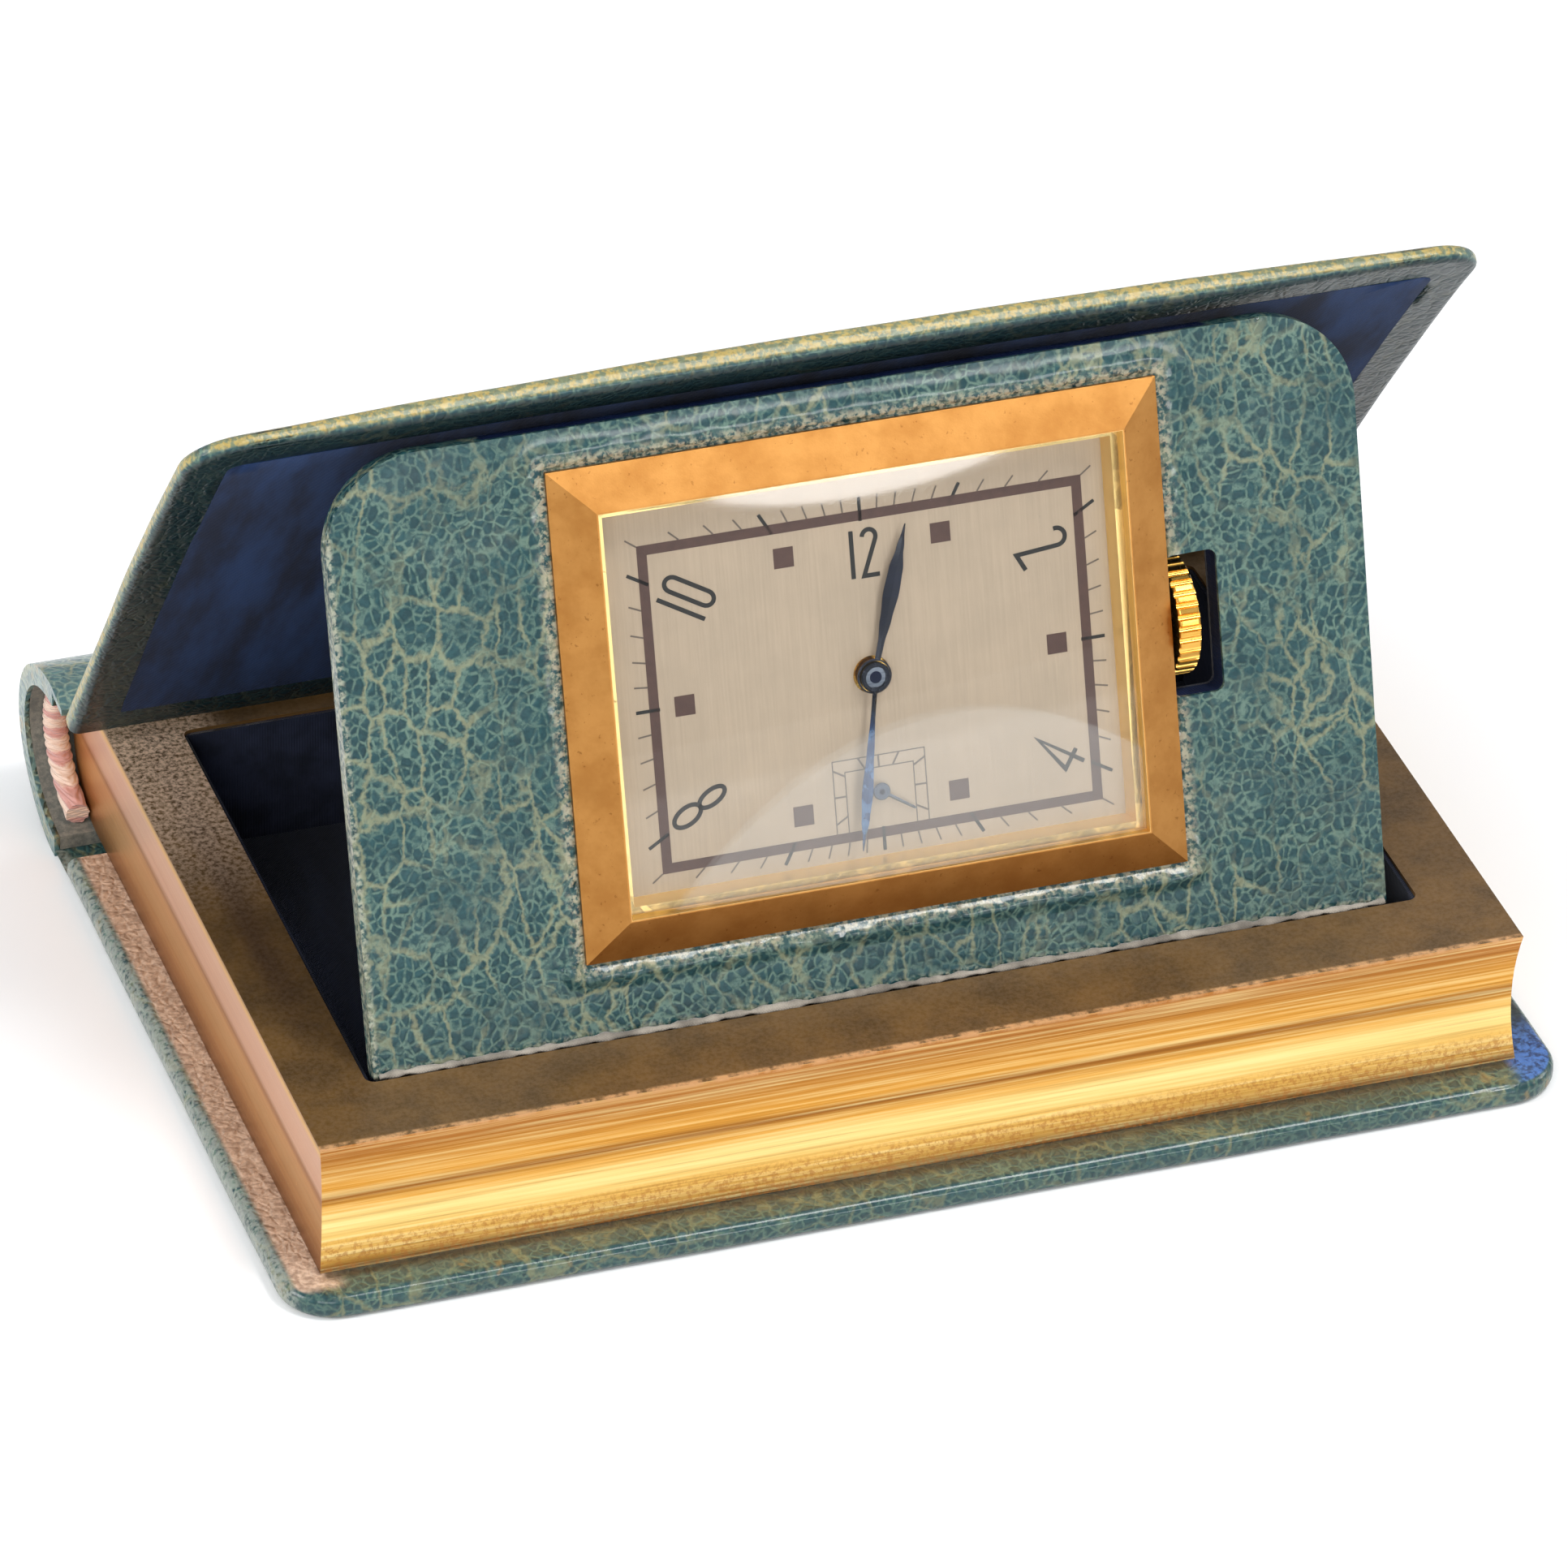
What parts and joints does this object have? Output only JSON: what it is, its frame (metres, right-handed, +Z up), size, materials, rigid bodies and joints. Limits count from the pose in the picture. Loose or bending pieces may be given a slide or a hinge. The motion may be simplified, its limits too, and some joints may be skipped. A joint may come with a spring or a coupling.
{
  "type": "pendulette clock",
  "caption": "Book-shaped travel clock: leather covers on a gilt page block, with a hinged clock panel that folds into the well.",
  "frame": {"origin": "under the middle of the standing clock, on the surface it stands on", "axes": "+X along the spine to the viewer's right, +Y from the fore edge to the spine, +Z up"},
  "size_m": [0.0758, 0.0562, 0.0458],
  "materials": {
    "leather": "teal calf with a veined cream and gold mottle, worn at the edges",
    "board": "grey-brown bookbinder's board",
    "lining": "dark blue silk moire lining",
    "gilt_block": "gilt, ruled with fine lines like page edges",
    "headband": "cream silk with rose stripes",
    "hinge_cloth": "worn grey-blue cloth hinge",
    "bezel": "brushed gilt with mitred facets",
    "case": "gilt brass, matt",
    "crystal": "clear, slightly domed",
    "dial": "silvered, brushed upright, with a printed track",
    "hands": "blued steel",
    "plates": "gilt brass, grained",
    "wheels": "polished brass",
    "steel": "polished steel",
    "jewels": "synthetic ruby",
    "crown": "gilt, knurled"
  },
  "bodies": {
    "case": {"rear_cover_board": "board", "rear_cover_lining": "lining", "rear_cover_leather": "leather", "spine_board": "board", "spine_leather": "leather", "front_rail": "gilt_block", "head_rail": "gilt_block", "tail_rail": "gilt_block", "spine_rail": "gilt_block", "headband": "headband", "tailband": "headband", "well_lining": "lining", "hinge_leaf_fixed": "hinge_cloth"},
    "front_cover": {"front_cover_board": "board", "front_cover_lining": "lining", "front_cover_leather": "leather"},
    "clock_panel": {"panel_board": "board", "panel_back_lining": "lining", "panel_leather": "leather", "hinge_leaf_moving": "hinge_cloth", "bezel": "bezel", "crystal": "crystal", "watch_case": "case", "case_back": "case", "dial": "dial", "movement_spacer": "plates", "mainplate": "plates", "barrel_bridge": "plates", "train_bridge": "plates", "balance_cock": "plates", "pallet_bridge": "plates", "jewels": "jewels", "movement_screws": "steel", "click_spring": "steel"},
    "fourth_arbor": {"fourth_wheel": "wheels", "seconds_hand": "hands"},
    "third_arbor": {"third_wheel": "wheels"},
    "centre_arbor": {"centre_wheel": "wheels", "cannon_pinion": "steel", "minute_hand": "hands"},
    "minute_work": {"minute_wheel": "wheels"},
    "hour_work": {"hour_wheel": "wheels", "hour_hand": "hands"},
    "escape_arbor": {"escape_wheel": "steel"},
    "barrel": {"barrel_drum": "wheels", "mainspring": "steel"},
    "lever": {"pallet_fork": "steel"},
    "balance": {"balance_wheel": "wheels", "hairspring": "steel"},
    "winding_sleeve": {"winding_pinion": "steel"},
    "crown": {"winding_stem": "steel", "crown": "crown"},
    "crown_wheel": {"crown_wheel": "steel"},
    "ratchet": {"ratchet_wheel": "steel", "barrel_arbor": "steel"},
    "click": {"click": "steel"}
  },
  "joints": [
    {"name": "cover_open", "type": "hinge", "parent": "case", "child": "front_cover", "pos_m": [0, 0.0181, 0.0115], "axis": [-1, 0, 0], "range_deg": [0, 107.1]},
    {"name": "panel_fold", "type": "hinge", "parent": "case", "child": "clock_panel", "pos_m": [0, -0.0205, 0.00883], "axis": [-1, 0, 0], "range_deg": [0, 72.5]},
    {"name": "seconds_turn", "type": "hinge", "parent": "clock_panel", "child": "fourth_arbor", "pos_m": [0.00015, -0.01382, 0.01978], "axis": [0, 0.9537, -0.3007], "continuous": true},
    {"name": "third_turn", "type": "hinge", "parent": "clock_panel", "child": "third_arbor", "pos_m": [0.00286, -0.01295, 0.02253], "axis": [0, 0.9537, -0.3007], "continuous": true},
    {"name": "minute_turn", "type": "hinge", "parent": "clock_panel", "child": "centre_arbor", "pos_m": [0.00015, -0.01177, 0.02626], "axis": [0, 0.9537, -0.3007], "continuous": true},
    {"name": "minute_wheel_turn", "type": "hinge", "parent": "clock_panel", "child": "minute_work", "pos_m": [0.00327, -0.01123, 0.02798], "axis": [0, 0.9537, -0.3007], "continuous": true},
    {"name": "hour_turn", "type": "hinge", "parent": "clock_panel", "child": "hour_work", "pos_m": [0.00015, -0.01177, 0.02626], "axis": [0, 0.9537, -0.3007], "continuous": true},
    {"name": "escape_turn", "type": "hinge", "parent": "clock_panel", "child": "escape_arbor", "pos_m": [-0.00305, -0.01358, 0.02054], "axis": [0, 0.9537, -0.3007], "continuous": true},
    {"name": "barrel_turn", "type": "hinge", "parent": "clock_panel", "child": "barrel", "pos_m": [0.00321, -0.01018, 0.03132], "axis": [0, 0.9537, -0.3007], "continuous": true},
    {"name": "lever_rock", "type": "hinge", "parent": "clock_panel", "child": "lever", "pos_m": [-0.00444, -0.01298, 0.02243], "axis": [0, 0.9537, -0.3007], "range_deg": [-6, 6]},
    {"name": "balance_swing", "type": "hinge", "parent": "clock_panel", "child": "balance", "pos_m": [-0.00634, -0.01217, 0.02501], "axis": [0, 0.9537, -0.3007], "range_deg": [-120, 120], "stiffness_Nm_per_rad": 0.000001},
    {"name": "winding_turn", "type": "hinge", "parent": "clock_panel", "child": "winding_sleeve", "pos_m": [0.01795, -0.01163, 0.02622], "axis": [1, 0, 0], "continuous": true},
    {"name": "crown_pull", "type": "slide", "parent": "winding_sleeve", "child": "crown", "axis": [1, 0, 0], "range_m": [0, 0.0007]},
    {"name": "crown_wheel_turn", "type": "hinge", "parent": "clock_panel", "child": "crown_wheel", "pos_m": [0.00723, -0.01177, 0.02626], "axis": [0, 0.9537, -0.3007], "continuous": true},
    {"name": "ratchet_turn", "type": "hinge", "parent": "clock_panel", "child": "ratchet", "pos_m": [0.00321, -0.01018, 0.03132], "axis": [0, 0.9537, -0.3007], "continuous": true},
    {"name": "click_lift", "type": "hinge", "parent": "clock_panel", "child": "click", "pos_m": [0.00072, -0.00857, 0.03642], "axis": [0, 0.9537, -0.3007], "range_deg": [0, 12], "stiffness_Nm_per_rad": 0.00001}
  ],
  "couplings": [
    {"joint": "panel_fold", "follows": "cover_open", "ratio": 0.6769},
    {"joint": "third_turn", "follows": "seconds_turn", "ratio": -0.1},
    {"joint": "minute_turn", "follows": "seconds_turn", "ratio": 0.016667},
    {"joint": "minute_wheel_turn", "follows": "seconds_turn", "ratio": -0.0055556},
    {"joint": "hour_turn", "follows": "seconds_turn", "ratio": 0.0013889},
    {"joint": "escape_turn", "follows": "seconds_turn", "ratio": -10},
    {"joint": "barrel_turn", "follows": "seconds_turn", "ratio": -0.0033333},
    {"joint": "crown_wheel_turn", "follows": "winding_turn", "ratio": -0.46667},
    {"joint": "ratchet_turn", "follows": "winding_turn", "ratio": 0.35}
  ]
}
